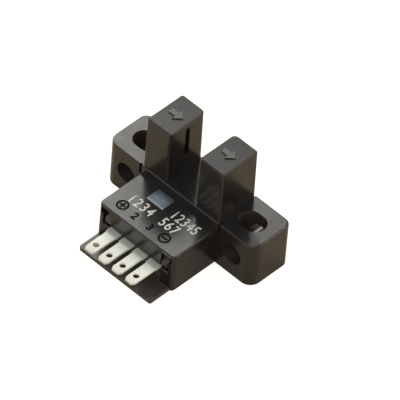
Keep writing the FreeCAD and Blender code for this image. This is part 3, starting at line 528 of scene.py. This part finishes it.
def pad_print(look):
    """Two-part epoxy ink laid down by a pad: to the eye, an off-white with a faint mottle and a soft sheen."""
    material, tree, place = blank_material("pad_printed_ink")
    mottle, colour = two_tones(tree, place, INK_MOTTLE, (INK_SHADE, look.ink), detail=4.0)
    bump = add_node(tree, "ShaderNodeBump", Height=mottle, Strength=0.3, Distance=0.004 * MM)
    shader = add_node(
        tree, "ShaderNodeBsdfPrincipled", Base_Color=colour, Roughness=0.45, IOR=INK_IOR,
        Normal=bump.outputs["Normal"])
    finish_material(tree, shader)
    return material


def tinned_metal(name, look, along, tones, root=None):
    """Rolled brass strip, stamped and plated with matt tin.

    To the eye: a soft silvery white, with fine lines along the strip's rolling direction. The blades turn
    lighter from their tips towards the middle, and their wider roots are greyer with painted shade of the body's
    overhang.
    """
    material, tree, place = blank_material(name)
    stretch = [1 / (ROLLING_RUN if axis == along else ROLLING_LINE) for axis in "xyz"]
    rolled = add_node(tree, "ShaderNodeMapping", Vector=place, Scale=stretch)
    lines = add_node(tree, "ShaderNodeTexNoise", Vector=rolled.outputs["Vector"], Scale=1.0, Detail=3.0)
    _, colour = two_tones(tree, place, TIN_CLOUD, tones, detail=2.0)
    if root:
        tip, shoulder = root
        along_blade = add_node(tree, "ShaderNodeSeparateXYZ", Vector=place).outputs["Y"]
        # From the tip the tin turns lighter; the grey at the root is painted shade of the body's overhang.
        for start, end, tone in (
            (tip, shoulder - 1.2 * MM, look.tin_light),
            (shoulder - 0.25 * MM, shoulder + 0.1 * MM, look.tin_root),
        ):
            share = add_node(tree, "ShaderNodeMapRange", Value=along_blade, From_Min=start, From_Max=end)
            colour = add_node(
                tree, "ShaderNodeMix", COLOUR, Factor=share.outputs["Result"], A=colour, B=linear(tone)).outputs[2]
    smoothest, roughest = (look.tin_roughness * share for share in ROLLED_SPREAD)
    gloss = add_node(
        tree, "ShaderNodeMapRange", Value=lines.outputs["Fac"], To_Min=smoothest, To_Max=roughest)
    bump = add_node(tree, "ShaderNodeBump", Height=lines.outputs["Fac"], Strength=0.25, Distance=0.003 * MM)
    shader = add_node(
        tree, "ShaderNodeBsdfPrincipled", Base_Color=colour, Metallic=1.0, Roughness=gloss.outputs["Result"],
        Normal=bump.outputs["Normal"])
    finish_material(tree, shader)
    return material


def smoked_window(look):
    """Tinted polycarbonate that diffuses the lamp's light.

    To the eye: a cool grey with a clean gloss, a painted highlight along its front edge, painted shade at its
    sides, and painted shade of the bar at its back, where the bar keeps the light away.
    """
    material, tree, place = blank_material("diffusing_polycarbonate")
    low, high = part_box("indicator_window")
    centred = add_node(
        tree, "ShaderNodeMapping", {"vector_type": "TEXTURE"}, Vector=place,
        Location=(low + high) / 2, Scale=(high - low) / 2)
    across, along, _ = add_node(tree, "ShaderNodeSeparateXYZ", Vector=centred.outputs["Vector"]).outputs
    off_middle = add_node(tree, "ShaderNodeMath", {"operation": "ABSOLUTE"}, across).outputs[0]
    tone = linear(look.window_light)
    # Each tone takes over between two places, as shares of the way from the window's middle to its edge: painted
    # shade at the sides and at the back, a painted highlight at the front edge.
    for value, start, end, other in (
        (off_middle, 0.35, 1.0, look.window_side),
        (along, -0.1, 0.78, look.window_dark),
        (along, -0.45, -0.82, look.window_pale),
    ):
        share = add_node(tree, "ShaderNodeMapRange", Value=value, From_Min=start, From_Max=end)
        tone = add_node(
            tree, "ShaderNodeMix", COLOUR, Factor=share.outputs["Result"], A=tone, B=linear(other)).outputs[2]
    shader = add_node(
        tree, "ShaderNodeBsdfPrincipled", Base_Color=tone, Roughness=0.12, IOR=POLYCARBONATE_IOR,
        Transmission_Weight=0.15, Subsurface_Weight=0.2, Subsurface_Radius=(0.4, 0.45, 0.5),
        Subsurface_Scale=1 * MM)
    finish_material(tree, shader)
    return material


def infrared_filter():
    """Dyed polycarbonate that passes infrared alone: to the eye, almost black with a deep red edge."""
    material, tree, place = blank_material("infrared_passing_polycarbonate")
    _, colour = two_tones(tree, place, DYE_CLOUD, FILTER_TONES, detail=2.0)
    shader = add_node(
        tree, "ShaderNodeBsdfPrincipled", Base_Color=colour, Roughness=0.1, IOR=POLYCARBONATE_IOR,
        Transmission_Weight=0.25)
    finish_material(tree, shader)
    return material


def solder_resist():
    """Glass cloth in epoxy under a green solder resist: to the eye, green over a faint weave, with straw edges."""
    material, tree, place = blank_material("glass_epoxy_board")
    weave = [
        add_node(
            tree, "ShaderNodeTexWave", {"bands_direction": axis, "wave_profile": "SIN"},
            Vector=place, Scale=math.tau / (20 * GLASS_THREAD), Distortion=0.4, Detail=1.0).outputs["Fac"]
        for axis in ("X", "Y")
    ]
    cloth = add_node(tree, "ShaderNodeMath", {"operation": "MULTIPLY"}, *weave).outputs[0]
    normal = add_node(tree, "ShaderNodeNewGeometry").outputs["Normal"]
    upright = add_node(tree, "ShaderNodeSeparateXYZ", Vector=normal).outputs["Z"]
    steep = add_node(tree, "ShaderNodeMath", {"operation": "ABSOLUTE"}, upright).outputs[0]
    face = add_node(tree, "ShaderNodeMath", {"operation": "GREATER_THAN"}, steep, 0.5).outputs[0]
    dark, light = RESIST_TONES
    green = add_node(tree, "ShaderNodeMix", COLOUR, Factor=cloth, A=linear(dark), B=linear(light)).outputs[2]
    colour = add_node(tree, "ShaderNodeMix", COLOUR, Factor=face, A=linear(BOARD_EDGE_TONE), B=green).outputs[2]
    bump = add_node(tree, "ShaderNodeBump", Height=cloth, Strength=0.3, Distance=0.01 * MM)
    shader = add_node(
        tree, "ShaderNodeBsdfPrincipled", Base_Color=colour, Roughness=0.32, IOR=BOARD_IOR,
        Normal=bump.outputs["Normal"])
    finish_material(tree, shader)
    return material


def cast_epoxy(name, tones, clearness, roughness):
    """Cast or moulded epoxy.

    To the eye: clear round the light source, dyed dark round the receiver, and on the transistor matt and dark
    with the silica that fills it.
    """
    material, tree, place = blank_material(name)
    filler, colour = two_tones(tree, place, SILICA_GRAIN, tones)
    bump = add_node(tree, "ShaderNodeBump", Height=filler, Strength=0.2, Distance=0.006 * MM)
    shader = add_node(
        tree, "ShaderNodeBsdfPrincipled", Base_Color=colour, Roughness=roughness, IOR=EPOXY_IOR,
        Transmission_Weight=clearness, Normal=bump.outputs["Normal"])
    finish_material(tree, shader)
    return material


def capped_chip(name, node, tones, cap_share):
    """A ceramic chip part with tinned ends: to the eye, a glazed middle between two short silvery caps."""
    material, tree, place = blank_material(name)
    low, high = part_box(node)
    size = high - low
    lengthways = 0 if size.x >= size.y else 1
    middle = (low[lengthways] + high[lengthways]) / 2
    run = add_node(tree, "ShaderNodeSeparateXYZ", Vector=place).outputs[lengthways]
    off_middle = add_node(tree, "ShaderNodeMath", {"operation": "SUBTRACT"}, run, middle).outputs[0]
    away = add_node(tree, "ShaderNodeMath", {"operation": "ABSOLUTE"}, off_middle).outputs[0]
    cap = add_node(
        tree, "ShaderNodeMath", {"operation": "GREATER_THAN"}, away, size[lengthways] * (0.5 - cap_share)).outputs[0]
    _, glaze = two_tones(tree, place, GLAZE_FLECK, tones)
    colour = add_node(tree, "ShaderNodeMix", COLOUR, Factor=cap, A=glaze, B=linear(CAP_TONE)).outputs[2]
    shader = add_node(tree, "ShaderNodeBsdfPrincipled", Base_Color=colour, Metallic=cap, Roughness=0.35)
    finish_material(tree, shader)
    return material


def pale_floor():
    """Plain painted board, seen as white: to the eye, nothing but the object's soft shadow."""
    material, tree, _ = blank_material("pale_studio_floor")
    path = add_node(tree, "ShaderNodeLightPath").outputs
    in_gloss = add_node(
        tree, "ShaderNodeMath", {"operation": "MULTIPLY"}, path["Is Glossy Ray"], FLOOR_IN_GLOSS).outputs[0]
    share = path["Is Camera Ray"]
    for other in (in_gloss, path["Is Transmission Ray"]):
        share = add_node(tree, "ShaderNodeMath", {"operation": "MAXIMUM"}, share, other).outputs[0]
    glow = add_node(tree, "ShaderNodeMath", {"operation": "MULTIPLY"}, share, FLOOR_SEEN).outputs[0]
    matt = add_node(tree, "ShaderNodeBsdfDiffuse", Color=linear(FLOOR_TONE)).outputs[0]
    own = add_node(tree, "ShaderNodeEmission", Color=WHITE, Strength=glow).outputs[0]
    finish_material(tree, add_node(tree, "ShaderNodeAddShader", None, matt, own))
    return material


def surround(strength):
    """The light from all round: even above, paler near the horizon, and white where the camera sees it."""
    world = bpy.data.worlds.new("studio_surround")
    world.use_nodes = True
    tree = world.node_tree
    tree.nodes.clear()
    path = add_node(tree, "ShaderNodeLightPath").outputs
    seen = add_node(
        tree, "ShaderNodeMath", {"operation": "MAXIMUM"}, path["Is Camera Ray"], path["Is Transmission Ray"])
    direction = add_node(tree, "ShaderNodeTexCoord").outputs["Generated"]
    height = add_node(tree, "ShaderNodeSeparateXYZ", Vector=direction).outputs["Z"]
    start, end = HORIZON_FADE
    lit = add_node(
        tree, "ShaderNodeMapRange", Value=height, From_Min=start, From_Max=end, To_Min=PALE_BELOW, To_Max=strength)
    level = add_node(
        tree, "ShaderNodeMix", NUMBER, Factor=seen.outputs[0], A=lit.outputs["Result"], B=1.0).outputs[0]
    back = add_node(tree, "ShaderNodeBackground", Color=WHITE, Strength=level).outputs[0]
    add_node(tree, "ShaderNodeOutputWorld", Surface=back)
    return world


# Settings

class SwitchLook(bpy.types.PropertyGroup):
    """Colours and surface finish."""
    plastic_dark: StringProperty(
        name="Plastic, dark", description="Darker tone of the moulding, sRGB hex", default="#1b1917")
    plastic_light: StringProperty(
        name="Plastic, light", description="Lighter tone of the moulding, sRGB hex", default="#26221f")
    base_dark: StringProperty(
        name="Base, dark", description="Darker tone of the base's moulding, sRGB hex", default="#37322e")
    base_light: StringProperty(
        name="Base, light", description="Lighter tone of the base's moulding, sRGB hex", default="#48423c")
    # The slots' walls take a paler tone than the rest of the moulding.
    slot_tone: StringProperty(
        name="Slot walls", description="Tone of the mounting slots' walls, which screws rub paler, sRGB hex",
        default="#342b26")
    plastic_roughness: FloatProperty(
        name="Plastic roughness", description="Roughness of the moulded faces", default=0.22, min=0.02, max=1.0)
    base_dullness: FloatProperty(
        name="Base dullness", description="Roughness of the base against that of the case",
        default=1.3, min=0.1, max=4.0)
    insert_roughness: FloatProperty(
        name="Post top roughness", description="Roughness of the duller tops of the posts",
        default=0.5, min=0.02, max=1.0)
    arrow_roughness: FloatProperty(
        name="Arrow roughness", description="Roughness of the arrows on the posts", default=0.26, min=0.02, max=1.0)
    core_roughness: FloatProperty(
        name="Cored hole roughness", description="Roughness of the walls in the slots and the cross holes",
        default=0.62, min=0.02, max=1.0)
    spark_size: FloatProperty(
        name="Post top mottle", description="Size of the patches that the spark leaves on the tops of the posts",
        default=0.35 * MM, unit="LENGTH", subtype="DISTANCE", precision=5)
    grain_size: FloatProperty(
        name="Grain size",
        description="Pitch of the tool's grain, drawn coarser than the real 0.03 mm so that it shows",
        default=0.14 * MM, unit="LENGTH", subtype="DISTANCE", precision=6)
    grain_depth: FloatProperty(
        name="Grain depth", description="Height of the tool's grain", default=0.006 * MM,
        unit="LENGTH", subtype="DISTANCE", precision=6)
    grain_strength: FloatProperty(
        name="Grain strength", description="How much of the grain shows", default=0.35, min=0.0, max=1.0)
    ink: StringProperty(
        name="Ink", description="Colour of the printed numerals, sRGB hex", default="#f0efe9")
    tin_dark: StringProperty(
        name="Tin, dark", description="Darker tone of the terminals' tips, sRGB hex", default="#dedfd6")
    tin: StringProperty(
        name="Tin", description="Colour of the tinned terminals, sRGB hex", default="#ecede4")
    tin_light: StringProperty(
        name="Tin, light", description="Brighter tin between tip and root, sRGB hex", default="#fbfcf4")
    # Painted shade of the body's overhang on the blades' roots.
    tin_root: StringProperty(
        name="Tin, root", description="Greyer tin of the wider roots, sRGB hex", default="#d8d9d2")
    tin_roughness: FloatProperty(
        name="Tin roughness", description="Roughness of the tin plating", default=0.8, min=0.02, max=1.0)
    window_light: StringProperty(
        name="Window, middle", description="Tone of the indicator window, sRGB hex", default="#8493a0")
    # Painted highlight along the window's front edge.
    window_pale: StringProperty(
        name="Window, front", description="Palest tone of the indicator window, at its front edge, sRGB hex",
        default="#c2c8d0")
    # Painted shade at the window's sides.
    window_side: StringProperty(
        name="Window, sides", description="Tone of the indicator window at its sides, sRGB hex", default="#6c7680")
    # Painted shade of the bar at the window's back.
    window_dark: StringProperty(
        name="Window, back", description="Darkest tone of the indicator window, at its back, sRGB hex",
        default="#3d4146")


class SwitchMarks(bpy.types.PropertyGroup):
    """Sizes of the printed numerals and the sunk signs on the body's top."""
    print_height: FloatProperty(
        name="Printed numeral height", description="Height of a printed numeral", default=1.65 * MM,
        unit="LENGTH", subtype="DISTANCE", precision=5)
    print_narrow: FloatProperty(
        name="Printed numeral width", description="Width of a printed numeral against the plain letterform",
        default=0.78, min=0.4, max=1.5)
    print_stroke: FloatProperty(
        name="Print weight", description="How much the printed strokes are thickened", default=0.02 * MM,
        unit="LENGTH", subtype="DISTANCE", precision=6)
    print_thickness: FloatProperty(
        name="Ink thickness", description="How far the ink stands on the plastic", default=0.012 * MM,
        unit="LENGTH", subtype="DISTANCE", precision=6)
    sign_radius: FloatProperty(
        name="Sign radius", description="Outer radius of the ring round a supply sign", default=0.88 * MM,
        unit="LENGTH", subtype="DISTANCE", precision=5)
    sign_line: FloatProperty(
        name="Sign line", description="Width of the sunk lines", default=0.29 * MM,
        unit="LENGTH", subtype="DISTANCE", precision=5)
    sign_depth: FloatProperty(
        name="Sign depth", description="Depth of the sunk lines", default=0.15 * MM,
        unit="LENGTH", subtype="DISTANCE", precision=5)
    sign_stroke: FloatProperty(
        name="Sunk weight", description="How much the sunk numerals' strokes are thickened", default=0.065 * MM,
        unit="LENGTH", subtype="DISTANCE", precision=6)
    sign_numeral: FloatProperty(
        name="Sunk numeral height", description="Height of the sunk terminal numerals", default=1.2 * MM,
        unit="LENGTH", subtype="DISTANCE", precision=5)


class SwitchStudio(bpy.types.PropertyGroup):
    """The lights, the floor and the camera."""
    distance: FloatProperty(
        name="Camera distance", description="From the camera to the object", default=1.0,
        unit="LENGTH", subtype="DISTANCE")
    width: FloatProperty(
        name="Width in view", description="What the picture's width takes in at the object",
        default=50.776 * MM, unit="LENGTH", subtype="DISTANCE", precision=5)
    aim: FloatVectorProperty(
        name="Aim", description="The point in the middle of the picture",
        default=(2.124 * MM, -2.039 * MM, 6.749 * MM), subtype="XYZ")
    surround: FloatProperty(
        name="Surround", description="Strength of the light from all round", default=0.55, min=0.0)
    key: FloatProperty(
        name="Key light", description="Power of the light above and behind", default=3.45, min=0.0)
    front: FloatProperty(
        name="Front light", description="Power of the light in front, on the right", default=1.2, min=0.0)
    low: FloatProperty(
        name="Low light", description="Power of the low light behind, on the right", default=1.8, min=0.0)
    fill: FloatProperty(
        name="Fill light", description="Power of the light on the left", default=0.76, min=0.0)


# Operators

class SWITCH_OT_stage(bpy.types.Operator):
    """Set up the camera, the plain pale floor and the soft lights"""
    bl_idname = "switch.stage"
    bl_label = "Stage"

    def execute(self, context):
        studio = context.scene.switch_studio
        aim = Vector(studio.aim)
        camera = bpy.data.objects.new("view_of_the_photograph", bpy.data.cameras.new("view_of_the_photograph"))
        context.scene.collection.objects.link(camera)
        camera.data.sensor_width = SENSOR_WIDTH
        camera.data.lens = SENSOR_WIDTH * studio.distance / studio.width
        camera.data.clip_end = studio.distance * 10
        turn = Matrix((VIEW_RIGHT, VIEW_UP, VIEW_BACK)).transposed().to_4x4()
        camera.matrix_world = Matrix.Translation(aim + VIEW_BACK * studio.distance) @ turn
        context.scene.camera = camera

        deselect_all()
        bpy.ops.mesh.primitive_plane_add(size=FLOOR_SIDE, location=(0, 0, CAD_BOX[0].z - HAIR))
        floor = settle(bpy.context.object, "studio_floor")
        paint(floor, pale_floor())

        context.scene.world = surround(studio.surround)
        for name, power, side, place in LIGHTS:
            lamp = bpy.data.objects.new(name, bpy.data.lights.new(name, "AREA"))
            lamp.data.energy = getattr(studio, power)
            lamp.data.color = LIGHT_TONE
            lamp.data.size = side
            context.scene.collection.objects.link(lamp)
            lamp.location = place
            lamp.rotation_mode = "QUATERNION"
            lamp.rotation_quaternion = (Vector(place) - aim).to_track_quat("Z", "Y")
        context.scene.view_settings.view_transform = "Standard"
        return {"FINISHED"}


class SWITCH_OT_case(bpy.types.Operator):
    """Finish the case and sink the supply signs and terminal numerals into its top"""
    bl_idname = "switch.case"
    bl_label = "Case"

    def execute(self, context):
        look = context.scene.switch_look
        tool = sunk_marks(context.scene.switch_marks)
        tones = (look.plastic_dark, look.plastic_light)
        dress("case", moulded_plastic("moulded_glass_filled_plastic", look, tones, tool=case_tool))
        case = loose_copy("case")
        cut_away(case, tool)
        settle(case, "marked_case")
        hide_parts("case")
        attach(case, BODY)
        return {"FINISHED"}


class SWITCH_OT_base(bpy.types.Operator):
    """Finish the terminal base that closes the case from below"""
    bl_idname = "switch.base"
    bl_label = "Terminal base"

    def execute(self, context):
        look = context.scene.switch_look
        tones = (look.base_dark, look.base_light)
        dress("terminal_base", moulded_plastic("moulded_base_plastic", look, tones, look.base_dullness))
        return {"FINISHED"}


class SWITCH_OT_print(bpy.types.Operator):
    """Print the rows of plain numerals on the body's top"""
    bl_idname = "switch.print"
    bl_label = "Printed numerals"

    def execute(self, context):
        look, marks = context.scene.switch_look, context.scene.switch_marks
        top = body_top()
        numerals = []
        for text, x, y, pitch in PRINTED_ROWS:
            first = x - pitch * (len(text) - 1) / 2
            for i, digit in enumerate(text):
                at = ((first + i * pitch) * MM, y * MM, top)
                numerals.append(
                    numeral(digit, marks.print_height, marks.print_stroke, at, marks.print_thickness,
                            marks.print_narrow))
        print_piece = settle(joined(numerals), "printed_numerals")
        paint(print_piece, pad_print(look))
        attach(print_piece, BODY)
        return {"FINISHED"}


class SWITCH_OT_optics(bpy.types.Operator):
    """Finish the window, the two filters, the light source, the receiver and their leads"""
    bl_idname = "switch.optics"
    bl_label = "Window and optics"

    def execute(self, context):
        look = context.scene.switch_look
        dress("indicator_window", smoked_window(look))
        dark_filter = infrared_filter()
        dress("source_filter", dark_filter)
        dress("receiver_filter", dark_filter)
        dress("light_source", cast_epoxy("clear_cast_epoxy", CLEAR_EPOXY_TONES, 0.85, 0.08))
        dress("receiver", cast_epoxy("dyed_cast_epoxy", DYED_EPOXY_TONES, 0.2, 0.12))
        lead = tinned_metal("tinned_lead_frame", look, "z", LEAD_TONES)
        for node in frame["nodes"]:
            if "_lead_" in node:
                dress(node, lead)
        return {"FINISHED"}


class SWITCH_OT_terminals(bpy.types.Operator):
    """Finish the four flat terminals"""
    bl_idname = "switch.terminals"
    bl_label = "Terminals"

    def execute(self, context):
        look = context.scene.switch_look
        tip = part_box("terminal_1")[0].y
        tin = tinned_metal(
            "tinned_brass_strip", look, "y", (look.tin_dark, look.tin), root=(tip, tip + BLADE_LENGTH))
        for number in range(1, 5):
            dress(f"terminal_{number}", tin)
        return {"FINISHED"}


class SWITCH_OT_board(bpy.types.Operator):
    """Finish the circuit board and the small parts on it"""
    bl_idname = "switch.board"
    bl_label = "Circuit board"

    def execute(self, context):
        dress("circuit_board", solder_resist())
        for node, name, tones, cap_share in CHIPS:
            dress(node, capped_chip(name, node, tones, cap_share))
        dress("output_transistor", cast_epoxy("silica_filled_epoxy", FILLED_EPOXY_TONES, 0.0, 0.5))
        return {"FINISHED"}


OPERATORS = (
    SWITCH_OT_stage, SWITCH_OT_case, SWITCH_OT_base, SWITCH_OT_print,
    SWITCH_OT_optics, SWITCH_OT_terminals, SWITCH_OT_board,
)
SETTINGS = (("switch_look", SwitchLook), ("switch_marks", SwitchMarks), ("switch_studio", SwitchStudio))


class SWITCH_PT_panel(bpy.types.Panel):
    """The switch's pieces and settings"""
    bl_idname = "SWITCH_PT_panel"
    bl_label = "Slotted optical switch"
    bl_space_type = "VIEW_3D"
    bl_region_type = "UI"
    bl_category = "Switch"

    def draw(self, context):
        for operator in OPERATORS:
            self.layout.operator(operator.bl_idname)
        for name, group in SETTINGS:
            box = self.layout.box()
            for setting in group.__annotations__:
                box.prop(getattr(context.scene, name), setting)


def register():
    """Registers the settings, the operators and the panel."""
    for name, group in SETTINGS:
        bpy.utils.register_class(group)
        setattr(bpy.types.Scene, name, PointerProperty(type=group))
    for kind in OPERATORS + (SWITCH_PT_panel,):
        bpy.utils.register_class(kind)


def unregister():
    """Takes them back in the opposite order."""
    for kind in (SWITCH_PT_panel,) + OPERATORS[::-1]:
        bpy.utils.unregister_class(kind)
    for name, group in SETTINGS[::-1]:
        delattr(bpy.types.Scene, name)
        bpy.utils.unregister_class(group)


def main():
    """Builds the stage and dresses the switch, one operator after the other."""
    register()
    bpy.ops.switch.stage()
    bpy.ops.switch.case()
    bpy.ops.switch.base()
    bpy.ops.switch.print()
    bpy.ops.switch.optics()
    bpy.ops.switch.terminals()
    bpy.ops.switch.board()


if __name__ == "__main__":
    main()
